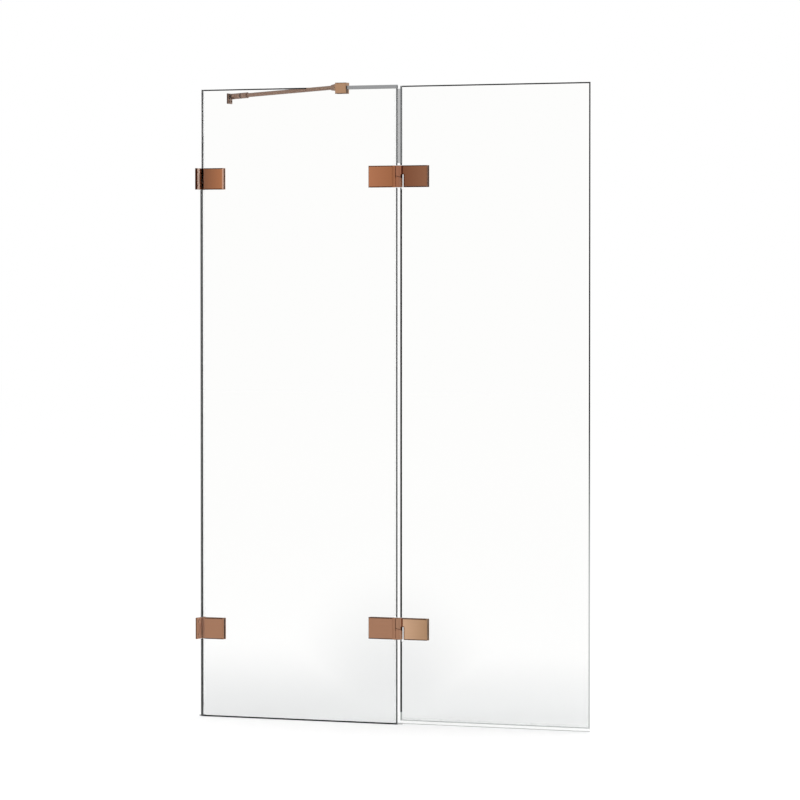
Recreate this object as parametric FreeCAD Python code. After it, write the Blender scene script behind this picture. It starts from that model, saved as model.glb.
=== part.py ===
import FreeCAD
import Part
import math
import os

# Bath screen of two clear glass panels: one held to the wall, one a door on two rising hinges.
# Lengths are in millimetres. X runs from the wall along the screen, Z up from the bath rim,
# Y = 0 is the middle of the glass and +Y is the bath side.

# Glass panels
glass_thickness = 6.0
screen_height = 1500.0
wall_gap = 6.0
fixed_glass_width = 509.5
joint_gap = 8.0
door_glass_width = 475.5
door_rim_gap = 10.0
glass_arris = 1.8

# Clamped stack of every fitting: plate, gasket, glass, gasket, plate
gasket_thickness = 1.0
gasket_inset = 1.2
plate_thickness = 5.0
plate_bevel = 2.2

# Clamping screws, driven from the bath side, and the sleeves that line the glass holes
screw_diameter = 6.0
screw_head_diameter = 11.0
screw_bite = 3.2
screw_socket_width = 4.0
screw_socket_depth = 2.2
screw_clearance = 0.06
screw_tip_room = 0.4
sleeve_wall = 2.6
sleeve_clearance = 0.3

# Wall brackets
wall_bracket_upper_drop = 213.0
wall_bracket_lower_rise = 212.0
wall_bracket_height = 51.0
wall_bracket_reach = 66.0
wall_plate_thickness = 5.0
wall_plate_width = 48.0
wall_plate_bevel = 2.5
front_jaw_setback = 9.0
wall_hole_diameter = 5.5
wall_hole_countersink = 10.0
wall_hole_spacing_y = 30.0
wall_hole_spacing_z = 32.0
bracket_screw_spacing = 26.0
bracket_screw_edge = 26.0

# Hinges
hinge_upper_drop = 212.0
hinge_lower_rise = 226.0
hinge_height = 51.0
hinge_half_width = 75.0
knuckle_diameter = 18.0
knuckle_bevel = 0.8
knuckle_root_gap = 3.0
knuckle_running_gap = 0.5
door_leaf_relief = 7.0
relief_corner_radius = 1.2
root_setback = 2.5
root_depth = 8.0
hinge_screw_spacing = 26.0
hinge_screw_edge = 26.0
notch_clearance = 4.0
notch_end_clearance = 1.0

# Rise of the door over a quarter turn, and the ramp between the knuckle halves that makes it
door_rise = 4.0
cam_clearance = 0.3
cam_step_clearance = 0.3
cam_root_clearance = 0.6

# Hinge pin, keyed by a flat in the fixed knuckle, and the bush that the door turns on
pin_diameter = 8.0
pin_flat_depth = 1.2
pin_flat_setback = 2.5
pin_head_diameter = 12.0
pin_head_height = 2.0
pin_running_clearance = 0.05
pin_end_room = 0.5
bush_wall = 1.5
bush_flange_thickness = 1.5
cap_diameter = 13.0
cap_thickness = 2.5
cap_head_room = 2.0
fit_clearance = 0.05

# Clear plastic seals
seal_wall = 0.8
seal_leg = 8.0
seal_lip_gap = 0.3
seal_lip_overlap = 3.5
seal_end_gap = 0.6
wiper_thickness = 1.2
wiper_rim_clearance = 2.0
drip_vane_reach = 4.5

# Cap on the top edge between brace clamp and joint
edge_cap_wall = 1.0
edge_cap_crown = 2.6
edge_cap_leg = 6.0
edge_cap_end_gap = 1.0

# Brace between the wall and the top edge of the fixed glass
brace_wall_drop = 9.0
brace_wall_distance = 163.0
brace_bar_diameter = 10.0
brace_bar_clearance = 0.05
brace_flange_thickness = 5.0
brace_flange_width = 22.0
brace_flange_height = 25.0
brace_flange_bevel = 1.0
brace_hole_diameter = 4.5
brace_hole_spacing = 12.0
brace_hole_edge = 5.5
brace_pivot_distance = 9.0
brace_lug_width = 11.0
brace_lug_thickness = 5.0
brace_lug_clearance = 0.15
brace_pivot_diameter = 5.0
brace_barrel_diameter = 14.0
brace_barrel_bevel = 0.6
brace_swivel_length = 27.0
brace_socket_depth = 15.0
brace_ring_width = 3.5
brace_ring_diameter = 13.6
brace_ring_bevel = 0.3
brace_sleeve_length = 20.0

# Clamp that the brace holds the glass by
clamp_distance = 373.0
clamp_width = 28.0
clamp_height = 26.0
clamp_cover = 10.0
clamp_rear_leg = 9.0
clamp_bevel = 1.5
clamp_liner_thickness = 1.0
clamp_liner_inset = 1.0
clamp_boss_diameter = 18.0
clamp_boss_length = 24.0
clamp_socket_depth = 10.0
collar_length = 14.0
collar_small_diameter = 14.0
collar_gap = 0.2
grub_screw_diameter = 5.0
grub_screw_edge = 7.0
grub_screw_sink = 0.8
grub_socket_width = 2.5
grub_socket_depth = 3.0

# Length by which every cutting shape runs past the face it cuts
cut_overrun = 2.0

# Positions that follow from the sizes above
quarter_turn = math.pi / 2
half_glass = glass_thickness / 2
seat_y = half_glass + gasket_thickness
face_y = seat_y + plate_thickness
fixed_edge_x = wall_gap + fixed_glass_width
hinge_axis_x = fixed_edge_x + joint_gap / 2
door_edge_x = fixed_edge_x + joint_gap
door_end_x = door_edge_x + door_glass_width
half_hinge = hinge_height / 2
knuckle_radius = knuckle_diameter / 2
pin_radius = pin_diameter / 2
root_reach = knuckle_radius + knuckle_root_gap
relief_reach = knuckle_radius + door_leaf_relief
notch_reach = knuckle_radius + notch_clearance
sleeve_radius = screw_diameter / 2 + screw_clearance + sleeve_wall
glass_hole_radius = sleeve_radius + sleeve_clearance
hinge_levels = {"upper": screen_height - hinge_upper_drop, "lower": hinge_lower_rise}
bracket_levels = {"upper": screen_height - wall_bracket_upper_drop, "lower": wall_bracket_lower_rise}

EAST = FreeCAD.Vector(1, 0, 0)
NORTH = FreeCAD.Vector(0, 1, 0)
UP = FreeCAD.Vector(0, 0, 1)


def point(x, y, z):
    return FreeCAD.Vector(x, y, z)


def block(x_span, y_span, z_span):
    size = [max(span) - min(span) for span in (x_span, y_span, z_span)]
    return Part.makeBox(*size, point(min(x_span), min(y_span), min(z_span)))


def rod(radius, start, end):
    return Part.makeCylinder(radius, (end - start).Length, start, end - start)


def taper(start_radius, end_radius, start, end):
    return Part.makeCone(start_radius, end_radius, (end - start).Length, start, end - start)


def prism(corners, travel):
    outline = Part.makePolygon(corners + corners[:1])
    return Part.Face(outline).extrude(travel)


def plan_prism(corners, z_span):
    """Extrude an outline drawn in plan, as (x, y) corners, between two levels."""
    return prism([point(x, y, min(z_span)) for x, y in corners], UP * (max(z_span) - min(z_span)))


def front_prism(corners, y_span):
    """Extrude an outline drawn in front view, as (x, z) corners, between two depths."""
    return prism([point(x, min(y_span), z) for x, z in corners], NORTH * (max(y_span) - min(y_span)))


def side_prism(corners, x_span):
    """Extrude a section drawn from the side, as (y, z) corners, along the screen."""
    return prism([point(min(x_span), y, z) for y, z in corners], EAST * (max(x_span) - min(x_span)))


def on_plane(edge, axis, value):
    return all(abs(getattr(vertex.Point, axis) - value) < fit_clearance for vertex in edge.Vertexes)


def bevel_rim(shape, axis, value, size):
    """Chamfer every straight edge that lies on one flat side of a solid."""
    edges = [edge for edge in shape.Edges if len(edge.Vertexes) > 1 and on_plane(edge, axis, value)]
    return shape.makeChamfer(size, edges)


def round_upright(shape, radius, x, z):
    """Fillet the edge that runs through the thickness of a plate at one place of its outline."""
    edges = [edge for edge in shape.Edges if on_plane(edge, "x", x) and on_plane(edge, "z", z)]
    return shape.makeFillet(radius, edges)


def bevel_end(shape, end, size):
    """Chamfer the round end of a bar whose axis passes through a point."""
    edges = [edge for edge in shape.Edges if len(edge.Vertexes) == 1
             and (edge.Curve.Center - end).Length < fit_clearance]
    return shape.makeChamfer(size, edges)


def hexagon(width, start, travel):
    """Hexagonal prism, as wide as its key, along a travel that lies in the Y direction."""
    corner_reach = width / math.sqrt(3)
    corners = []
    for index in range(6):
        angle = index * math.pi / 3
        corners.append(start + point(corner_reach * math.cos(angle), 0, corner_reach * math.sin(angle)))
    return prism(corners, travel)


def save(name, solids):
    """Write one node: a single solid, or a group of separate ones."""
    shape = solids[0] if len(solids) == 1 else Part.makeCompound(solids)
    shape.exportStep(os.path.join("parts", name + ".step"))


def only_solid(shape):
    found = shape.removeSplitter().Solids
    if len(found) != 1:
        raise ValueError("expected one solid and found %d" % len(found))
    return found[0]


def clamp_screw(x, z):
    """Countersunk screw from the bath-side plate, through the glass, into the outer plate."""
    radius = screw_diameter / 2
    head_radius = screw_head_diameter / 2
    neck_y = face_y - (head_radius - radius)
    shank = rod(radius, point(x, -seat_y - screw_bite, z), point(x, neck_y, z))
    head = taper(radius, head_radius, point(x, neck_y, z), point(x, face_y, z))
    socket_start = point(x, face_y - screw_socket_depth, z)
    socket = hexagon(screw_socket_width, socket_start, NORTH * (screw_socket_depth + cut_overrun))
    return only_solid(shank.fuse(head).cut(socket))


def screw_hole(x, z):
    """Room for a clamping screw in both plates: blind in front, countersunk behind."""
    radius = screw_diameter / 2 + screw_clearance
    head_radius = screw_head_diameter / 2 + screw_clearance
    neck_y = face_y - (head_radius - radius)
    tip_y = -seat_y - screw_bite - screw_tip_room
    bore = rod(radius, point(x, tip_y, z), point(x, face_y, z))
    countersink = taper(radius, head_radius, point(x, neck_y, z), point(x, face_y, z))
    mouth = rod(head_radius, point(x, face_y, z), point(x, face_y + cut_overrun, z))
    return bore.fuse([countersink, mouth])


def screw_sleeve(x, z):
    """Plastic tube that keeps a screw off the edge of its glass hole."""
    outer = rod(sleeve_radius, point(x, -seat_y, z), point(x, seat_y, z))
    bore_radius = screw_diameter / 2 + screw_clearance
    bore = rod(bore_radius, point(x, -face_y, z), point(x, face_y, z))
    return only_solid(outer.cut(bore))


def glass_hole(x, z):
    return rod(glass_hole_radius, point(x, -face_y, z), point(x, face_y, z))


def gasket_pair(x_span, z_span, screw_places):
    """Rubber sheets on both faces of the glass, cut out for the sleeves."""
    sheets = []
    for y_span in ((-seat_y, -half_glass), (half_glass, seat_y)):
        sheet = block(x_span, y_span, z_span)
        for x, z in screw_places:
            sheet = sheet.cut(glass_hole(x, z))
        sheets.append(only_solid(sheet))
    return sheets


def cut_all(shape, tools):
    return only_solid(shape.cut(tools))


# Wall brackets

def bracket_screw_places(level):
    x = wall_bracket_reach - bracket_screw_edge
    return [(x, level - bracket_screw_spacing / 2), (x, level + bracket_screw_spacing / 2)]


def wall_screw_hole(y, z):
    """Countersunk hole through the wall plate."""
    radius = wall_hole_diameter / 2
    sink_radius = wall_hole_countersink / 2
    sink_depth = sink_radius - radius
    face_x = wall_plate_thickness
    bore = rod(radius, point(-cut_overrun, y, z), point(face_x + cut_overrun, y, z))
    sink = taper(radius, sink_radius, point(face_x - sink_depth, y, z), point(face_x, y, z))
    mouth = rod(sink_radius, point(face_x, y, z), point(face_x + cut_overrun, y, z))
    return bore.fuse([sink, mouth])


def wall_bracket(side, level):
    half_height = wall_bracket_height / 2
    half_plate = wall_plate_width / 2
    z_span = (level - half_height, level + half_height)
    plate = block((0, wall_plate_thickness), (-half_plate, half_plate), z_span)
    plate_edges = [edge for edge in plate.Edges if on_plane(edge, "x", wall_plate_thickness)
                   and (on_plane(edge, "y", -half_plate) or on_plane(edge, "y", half_plate))]
    plate = plate.makeChamfer(wall_plate_bevel, plate_edges)
    rear_jaw = block((0, wall_bracket_reach), (seat_y, face_y), z_span)
    body = plate.fuse(bevel_rim(rear_jaw, "y", face_y, plate_bevel))
    holes = [screw_hole(x, z) for x, z in bracket_screw_places(level)]
    for y in (-wall_hole_spacing_y / 2, wall_hole_spacing_y / 2):
        for z in (level - wall_hole_spacing_z / 2, level + wall_hole_spacing_z / 2):
            holes.append(wall_screw_hole(y, z))
    save(side + "_wall_bracket_body", [cut_all(body, holes)])

    jaw_start = wall_plate_thickness + front_jaw_setback
    jaw = block((jaw_start, wall_bracket_reach), (-face_y, -seat_y), z_span)
    jaw = bevel_rim(jaw, "y", -face_y, plate_bevel)
    jaw_holes = [screw_hole(x, z) for x, z in bracket_screw_places(level)]
    save(side + "_wall_bracket_jaw", [cut_all(jaw, jaw_holes)])

    places = bracket_screw_places(level)
    gasket_x = (jaw_start + gasket_inset, wall_bracket_reach - gasket_inset)
    gasket_z = (z_span[0] + gasket_inset, z_span[1] - gasket_inset)
    save(side + "_wall_bracket_gaskets", gasket_pair(gasket_x, gasket_z, places))
    save(side + "_wall_bracket_screws", [clamp_screw(x, z) for x, z in places])
    save(side + "_wall_bracket_sleeves", [screw_sleeve(x, z) for x, z in places])


# Rising hinges. A leaf is drawn for the door side and turned half round for the fixed side.

def hinge_screw_places(direction, level):
    x = hinge_axis_x + direction * (hinge_half_width - hinge_screw_edge)
    return [(x, level - hinge_screw_spacing / 2), (x, level + hinge_screw_spacing / 2)]


def screw_ramp(radius):
    """Half a turn of the cam's helix: it falls from left to right across the front."""
    steps = 8
    places = []
    for index in range(steps + 1):
        angle = -math.pi * index / steps
        height = -door_rise - angle * door_rise / quarter_turn
        places.append(point(radius * math.cos(angle), radius * math.sin(angle), height))
    curve = Part.BSplineCurve()
    curve.interpolate(places)
    return curve.toShape()


def cam_halves(travel):
    """Both half turns of the ramp surface, thickened along the axis by a travel up or down."""
    rails = [Part.Wire(screw_ramp(radius)) for radius in (pin_radius / 2, knuckle_diameter)]
    surface = Part.makeLoft(rails, False, True).Faces[0]
    first = surface.extrude(UP * travel)
    second = first.copy()
    second.rotate(point(0, 0, 0), UP, 180)
    return [first, second]


def knuckle_half(direction):
    """Half of the knuckle about the origin: the lower one for -1, the upper one for +1."""
    end_z = direction * half_hinge
    barrel = rod(knuckle_radius, point(0, 0, -direction * half_hinge), point(0, 0, end_z))
    barrel = bevel_end(barrel, point(0, 0, end_z), knuckle_bevel)
    barrel = barrel.cut(rod(pin_radius, point(0, 0, -hinge_height), point(0, 0, hinge_height)))
    # The seam of the round wall is turned to the back, away from the steps of the ramp.
    barrel.rotate(point(0, 0, 0), UP, math.degrees(quarter_turn))
    step_angle = cam_step_clearance / knuckle_radius
    for ramp in cam_halves(-direction * hinge_height):
        if direction > 0:
            ramp.rotate(point(0, 0, 0), UP, -math.degrees(step_angle))
            ramp.translate(UP * (cam_clearance + step_angle * door_rise / quarter_turn))
        barrel = barrel.cut(ramp)
    return barrel


def keyed_pin(radius, bottom_z, key_z, top_z):
    """Round pin with a flat along its lower end."""
    round_part = rod(radius, point(0, 0, key_z), point(0, 0, top_z))
    keyed_part = rod(radius, point(0, 0, bottom_z), point(0, 0, key_z))
    flat_y = radius - pin_flat_depth
    flat = block((-radius, radius), (flat_y, radius + cut_overrun), (bottom_z - cut_overrun, key_z))
    return round_part.fuse(keyed_part.cut(flat))


cam_low_z = -door_rise - cam_root_clearance
cam_high_z = door_rise + cam_root_clearance
pin_key_z = cam_low_z - pin_flat_setback
cap_radius = cap_diameter / 2
flange_low_z = half_hinge - cap_thickness - cap_head_room - pin_head_height - bush_flange_thickness
flange_top_z = flange_low_z + bush_flange_thickness
pin_head_z = flange_top_z + pin_running_clearance
bush_radius = pin_radius + pin_running_clearance + bush_wall


def leaf_root(direction, z_span):
    """Bridge from the leaf to its own knuckle half, set back behind the front face."""
    near_y = -face_y + root_setback
    outline = [
        (0, near_y),
        (direction * relief_reach, near_y),
        (direction * relief_reach, -seat_y),
        (direction * root_reach, -seat_y),
        (direction * root_reach, near_y + root_depth),
        (0, near_y + root_depth),
    ]
    return plan_prism(outline, z_span)


def fixed_leaf_blank():
    """Fixed leaf: a plain plate, whose bridge goes on upwards as a trough around the door's knuckle half."""
    x_span = (-root_reach, -hinge_half_width)
    plate = block(x_span, (-face_y, -seat_y), (-half_hinge, half_hinge))
    plate = bevel_rim(plate, "y", -face_y, plate_bevel)
    turning_room = rod(knuckle_radius + knuckle_running_gap, point(0, 0, -cam_high_z), point(0, 0, hinge_height))
    root = leaf_root(-1, (-half_hinge, half_hinge)).cut(turning_room)
    return plate.fuse(root)


def door_leaf_blank():
    """Door leaf: its plate is cut back beside the fixed knuckle half, which it swings around."""
    outline = [
        (root_reach, half_hinge),
        (hinge_half_width, half_hinge),
        (hinge_half_width, -half_hinge),
        (relief_reach, -half_hinge),
        (relief_reach, cam_high_z),
        (root_reach, cam_high_z),
    ]
    plate = front_prism(outline, (-face_y, -seat_y))
    plate = round_upright(plate, relief_corner_radius, relief_reach, cam_high_z)
    plate = bevel_rim(plate, "y", -face_y, plate_bevel)
    return plate.fuse(leaf_root(1, (cam_high_z, half_hinge)))


def hinge_leaf(direction):
    """Front plate, bridge and knuckle half of one leaf, about the origin."""
    end_z = direction * half_hinge
    blank = door_leaf_blank() if direction > 0 else fixed_leaf_blank()
    leaf = blank.fuse(knuckle_half(direction))
    cap_seat = rod(cap_radius, point(0, 0, end_z - direction * cap_thickness),
                   point(0, 0, end_z + direction * cut_overrun))
    if direction > 0:
        bore_radius = pin_radius + cam_clearance
        bore = rod(bore_radius, point(0, 0, -half_hinge), point(0, 0, half_hinge))
        bush_seat = rod(bush_radius, point(0, 0, cam_high_z), point(0, 0, half_hinge))
        head_room = rod(cap_radius, point(0, 0, flange_low_z), point(0, 0, half_hinge))
        return leaf.cut([bore, bush_seat, head_room, cap_seat])
    bore = keyed_pin(pin_radius + pin_running_clearance, -half_hinge, pin_key_z - pin_end_room, half_hinge)
    return leaf.cut([bore, cap_seat])


def back_plate(direction):
    """Bath-side plate of one leaf, about the origin."""
    x_span = (direction * root_reach, direction * hinge_half_width)
    plate = block(x_span, (seat_y, face_y), (-half_hinge, half_hinge))
    return bevel_rim(plate, "y", face_y, plate_bevel)


def at_hinge(shape, level):
    shape.translate(point(hinge_axis_x, 0, level))
    return shape


def hinge_side(prefix, direction, level):
    """Every piece of one hinge that is clamped to one panel."""
    places = hinge_screw_places(direction, level)
    holes = [screw_hole(x, z) for x, z in places]
    save(prefix + "_leaf", [cut_all(at_hinge(hinge_leaf(direction), level), holes)])
    save(prefix + "_back_plate", [cut_all(at_hinge(back_plate(direction), level), holes)])
    inner_reach = relief_reach if direction > 0 else notch_reach
    inner_x = hinge_axis_x + direction * (inner_reach + gasket_inset)
    outer_x = hinge_axis_x + direction * (hinge_half_width - gasket_inset)
    half_gasket = half_hinge - gasket_inset
    z_span = (level - half_gasket, level + half_gasket)
    save(prefix + "_gaskets", gasket_pair((inner_x, outer_x), z_span, places))
    save(prefix + "_screws", [clamp_screw(x, z) for x, z in places])
    save(prefix + "_sleeves", [screw_sleeve(x, z) for x, z in places])
    end_z = direction * half_hinge
    cap_start = point(0, 0, end_z - direction * cap_thickness)
    cap = rod(cap_radius - fit_clearance, cap_start, point(0, 0, end_z))
    save(prefix + "_cap", [at_hinge(cap, level)])


def rising_hinge(side, level):
    hinge_side(side + "_hinge_fixed", -1, level)
    hinge_side(side + "_hinge_door", 1, level)

    pin_bottom_z = -half_hinge + cap_thickness + pin_end_room
    pin = keyed_pin(pin_radius, pin_bottom_z, pin_key_z, pin_head_z)
    head = rod(pin_head_diameter / 2, point(0, 0, pin_head_z), point(0, 0, pin_head_z + pin_head_height))
    save(side + "_hinge_pin", [only_solid(at_hinge(pin.fuse(head), level))])

    bush_bore = rod(pin_radius + pin_running_clearance, point(0, 0, -half_hinge), point(0, 0, half_hinge))
    tube = rod(bush_radius - fit_clearance, point(0, 0, cam_high_z), point(0, 0, flange_top_z))
    flange_radius = cap_radius - fit_clearance
    flange = rod(flange_radius, point(0, 0, flange_low_z), point(0, 0, flange_top_z))
    save(side + "_hinge_bush", [only_solid(at_hinge(tube.fuse(flange).cut(bush_bore), level))])


# Glass panels

def glass_sheet(x_span, z_span):
    sheet = block(x_span, (-half_glass, half_glass), z_span)
    sheet = bevel_rim(sheet, "y", -half_glass, glass_arris)
    return bevel_rim(sheet, "y", half_glass, glass_arris)


def hinge_notch(direction, level):
    """Cut-out in a panel's edge around the knuckle, longer where the door rises past it."""
    own_end = half_hinge + notch_end_clearance
    far_end = own_end + door_rise
    top = level + (far_end if direction < 0 else own_end)
    bottom = level - (own_end if direction < 0 else far_end)
    x_span = (hinge_axis_x, hinge_axis_x + direction * notch_reach)
    return block(x_span, (-face_y, face_y), (bottom, top))


def glass_panels():
    fixed = glass_sheet((wall_gap, fixed_edge_x), (0, screen_height))
    door = glass_sheet((door_edge_x, door_end_x), (door_rim_gap, screen_height))
    fixed_cuts = []
    door_cuts = []
    for level in bracket_levels.values():
        fixed_cuts += [glass_hole(x, z) for x, z in bracket_screw_places(level)]
    for level in hinge_levels.values():
        fixed_cuts += [glass_hole(x, z) for x, z in hinge_screw_places(-1, level)]
        door_cuts += [glass_hole(x, z) for x, z in hinge_screw_places(1, level)]
        fixed_cuts.append(hinge_notch(-1, level))
        door_cuts.append(hinge_notch(1, level))
    save("fixed_glass_panel", [cut_all(fixed, fixed_cuts)])
    save("door_glass_panel", [cut_all(door, door_cuts)])


# Seals

def lengths_between(start, end, stops):
    """Split a run into the lengths that are left between fittings."""
    spans = []
    for low, high in sorted(stops):
        spans.append((start, low - seal_end_gap))
        start = high + seal_end_gap
    spans.append((start, end))
    return spans


def joint_seal():
    """Clip on the fixed panel's edge, with a lip behind the door's edge on the bath side."""
    leg_x = fixed_edge_x - seal_leg
    base_x = fixed_edge_x + seal_wall
    lip_x = door_edge_x + seal_lip_overlap
    front_y = -half_glass - seal_wall
    lip_y = half_glass + seal_lip_gap
    back_y = lip_y + seal_wall
    outline = [
        (leg_x, front_y),
        (base_x, front_y),
        (base_x, lip_y),
        (lip_x, lip_y),
        (lip_x, back_y),
        (leg_x, back_y),
        (leg_x, half_glass),
        (fixed_edge_x, half_glass),
        (fixed_edge_x, -half_glass),
        (leg_x, -half_glass),
    ]
    own_end = half_hinge + notch_end_clearance
    stops = [(level - own_end, level + own_end + door_rise) for level in hinge_levels.values()]
    top = screen_height - edge_cap_leg - seal_end_gap
    save("joint_seal", [plan_prism(outline, span) for span in lengths_between(0, top, stops)])


def wall_seal():
    """Clip on the fixed panel's wall edge, with a fin that closes the gap to the wall."""
    leg_x = wall_gap + seal_leg
    base_x = wall_gap - seal_wall
    front_y = -half_glass - seal_wall
    back_y = half_glass + seal_wall
    outline = [
        (0, front_y),
        (leg_x, front_y),
        (leg_x, -half_glass),
        (wall_gap, -half_glass),
        (wall_gap, half_glass),
        (leg_x, half_glass),
        (leg_x, back_y),
        (base_x, back_y),
        (base_x, -half_glass),
        (0, -half_glass),
    ]
    half_height = wall_bracket_height / 2
    stops = [(level - half_height, level + half_height) for level in bracket_levels.values()]
    save("wall_seal", [plan_prism(outline, span) for span in lengths_between(0, screen_height, stops)])


def door_bottom_seal():
    """Clip on the door's lower edge with a wiper above the rim and a vane that sheds drips inward."""
    leg_z = door_rim_gap + seal_leg
    base_z = door_rim_gap - seal_wall
    side_y = half_glass + seal_wall
    half_wiper = wiper_thickness / 2
    vane_y = half_glass + drip_vane_reach
    vane_z = base_z - drip_vane_reach
    vane_side = seal_wall / math.sqrt(2)
    section = [
        (-side_y, leg_z),
        (-side_y, base_z),
        (-half_wiper, base_z),
        (-half_wiper, wiper_rim_clearance),
        (half_wiper, wiper_rim_clearance),
        (half_wiper, base_z),
        (half_glass, base_z),
        (vane_y, vane_z),
        (vane_y + vane_side, vane_z + vane_side),
        (side_y, vane_z + vane_side + vane_y + vane_side - side_y),
        (side_y, leg_z),
        (half_glass, leg_z),
        (half_glass, door_rim_gap),
        (-half_glass, door_rim_gap),
        (-half_glass, leg_z),
    ]
    start_x = door_edge_x + seal_lip_overlap + seal_end_gap
    save("door_bottom_seal", [side_prism(section, (start_x, door_end_x))])


def top_edge_cap():
    """Channel pressed over the fixed panel's top edge, from the brace clamp to the joint."""
    start_x = clamp_distance + clamp_width / 2 + edge_cap_end_gap
    leg_z = screen_height - edge_cap_leg
    top_z = screen_height + edge_cap_crown
    side_y = half_glass + edge_cap_wall
    section = [
        (-side_y, leg_z),
        (-half_glass, leg_z),
        (-half_glass, screen_height),
        (half_glass, screen_height),
        (half_glass, leg_z),
        (side_y, leg_z),
        (side_y, top_z),
        (-side_y, top_z),
    ]
    save("top_edge_cap", [side_prism(section, (start_x, fixed_edge_x))])


# Brace

brace_pivot_x = brace_flange_thickness + brace_pivot_distance
brace_wall_level = screen_height - brace_wall_drop
brace_clamp_level = screen_height + clamp_cover - clamp_boss_diameter / 2
brace_pivot = point(brace_pivot_x, brace_wall_distance, brace_wall_level)
clamp_back_y = half_glass + clamp_liner_thickness + clamp_rear_leg
clamp_centre = point(clamp_distance, clamp_back_y - clamp_rear_leg / 2, brace_clamp_level)
brace_direction = (clamp_centre - brace_pivot).normalize()
brace_span = (clamp_centre - brace_pivot).Length
bar_radius = brace_bar_diameter / 2
bar_bore_radius = bar_radius + brace_bar_clearance
barrel_radius = brace_barrel_diameter / 2


def along_brace(distance):
    """Point on the bar's axis, at a distance from the wall pivot."""
    return brace_pivot + brace_direction * distance


def brace_wall_bracket():
    half_width = brace_flange_width / 2
    top_z = brace_wall_level + barrel_radius
    bottom_z = top_z - brace_flange_height
    y_span = (brace_wall_distance - half_width, brace_wall_distance + half_width)
    flange = block((0, brace_flange_thickness), y_span, (bottom_z, top_z))
    flange = bevel_rim(flange, "x", brace_flange_thickness, brace_flange_bevel)
    half_lug = brace_lug_width / 2
    half_lug_thickness = brace_lug_thickness / 2
    lug_z = (brace_wall_level - half_lug_thickness, brace_wall_level + half_lug_thickness)
    lug_y = (brace_wall_distance - half_lug, brace_wall_distance + half_lug)
    arm = block((0, brace_pivot_x), lug_y, lug_z)
    low = point(brace_pivot_x, brace_wall_distance, lug_z[0])
    high = point(brace_pivot_x, brace_wall_distance, lug_z[1])
    nose = rod(half_lug, low, high)
    cuts = [rod(brace_pivot_diameter / 2 + fit_clearance, low, high)]
    hole_z = bottom_z + brace_hole_edge
    for offset in (-brace_hole_spacing / 2, brace_hole_spacing / 2):
        start = point(-cut_overrun, brace_wall_distance + offset, hole_z)
        end = start + EAST * (brace_flange_thickness + 2 * cut_overrun)
        cuts.append(rod(brace_hole_diameter / 2, start, end))
    save("brace_wall_bracket", [cut_all(flange.fuse([arm, nose]), cuts)])

    pin_half = UP * (barrel_radius * math.cos(math.asin(brace_pivot_diameter / brace_barrel_diameter)))
    pin = rod(brace_pivot_diameter / 2, brace_pivot - pin_half, brace_pivot + pin_half)
    save("brace_pivot_pin", [pin])


def brace_swivel_end():
    """Forked barrel that turns on the wall bracket's lug and holds the bar in its socket."""
    barrel_end = along_brace(brace_swivel_length)
    barrel = bevel_end(rod(barrel_radius, brace_pivot, barrel_end), barrel_end, brace_barrel_bevel)
    nose_half = UP * barrel_radius
    nose = rod(barrel_radius, brace_pivot - nose_half, brace_pivot + nose_half)
    back_barrel = rod(barrel_radius, along_brace(-barrel_radius), brace_pivot)
    body = barrel.fuse(back_barrel.common(nose))
    slot_half = brace_lug_thickness / 2 + brace_lug_clearance
    slot_reach = barrel_radius + cut_overrun
    slot_end = brace_lug_width / 2 + brace_lug_clearance
    slot = block((-slot_reach, slot_end), (-slot_reach, slot_reach), (-slot_half, slot_half))
    heading = math.degrees(math.atan2(brace_direction.y, brace_direction.x))
    slot.rotate(point(0, 0, 0), UP, heading)
    slot.translate(brace_pivot)
    pin_hole = rod(brace_pivot_diameter / 2 + fit_clearance, brace_pivot - nose_half, brace_pivot + nose_half)
    socket_start = along_brace(brace_swivel_length - brace_socket_depth)
    socket = rod(bar_bore_radius, socket_start, along_brace(brace_swivel_length + cut_overrun))
    save("brace_swivel_end", [cut_all(body, [slot, pin_hole, socket])])


def brace_tube(radius, start, length, bevel):
    """Ring or sleeve that the bar passes through, bevelled at both ends."""
    outer = rod(radius, along_brace(start), along_brace(start + length))
    for end in (start, start + length):
        outer = bevel_end(outer, along_brace(end), bevel)
    bore = rod(bar_bore_radius, along_brace(start - cut_overrun), along_brace(start + length + cut_overrun))
    return only_solid(outer.cut(bore))


def brace_bar():
    ring_start = brace_swivel_length
    sleeve_start = ring_start + brace_ring_width
    ring = brace_tube(brace_ring_diameter / 2, ring_start, brace_ring_width, brace_ring_bevel)
    save("brace_seal_ring", [ring])
    sleeve = brace_tube(barrel_radius, sleeve_start, brace_sleeve_length, brace_barrel_bevel)
    save("brace_sleeve", [sleeve])
    bar_start = brace_swivel_length - brace_socket_depth + brace_bar_clearance
    bar_end = brace_span - clamp_boss_length + clamp_socket_depth - brace_bar_clearance
    save("brace_bar", [rod(bar_radius, along_brace(bar_start), along_brace(bar_end))])

    collar_end = brace_span - clamp_boss_length - collar_gap
    collar_start = collar_end - collar_length
    small_radius = collar_small_diameter / 2
    cone = taper(small_radius, clamp_boss_diameter / 2, along_brace(collar_start), along_brace(collar_end))
    bore = rod(bar_bore_radius, along_brace(collar_start), along_brace(collar_end))
    save("brace_clamp_collar", [only_solid(cone.cut(bore))])


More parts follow.
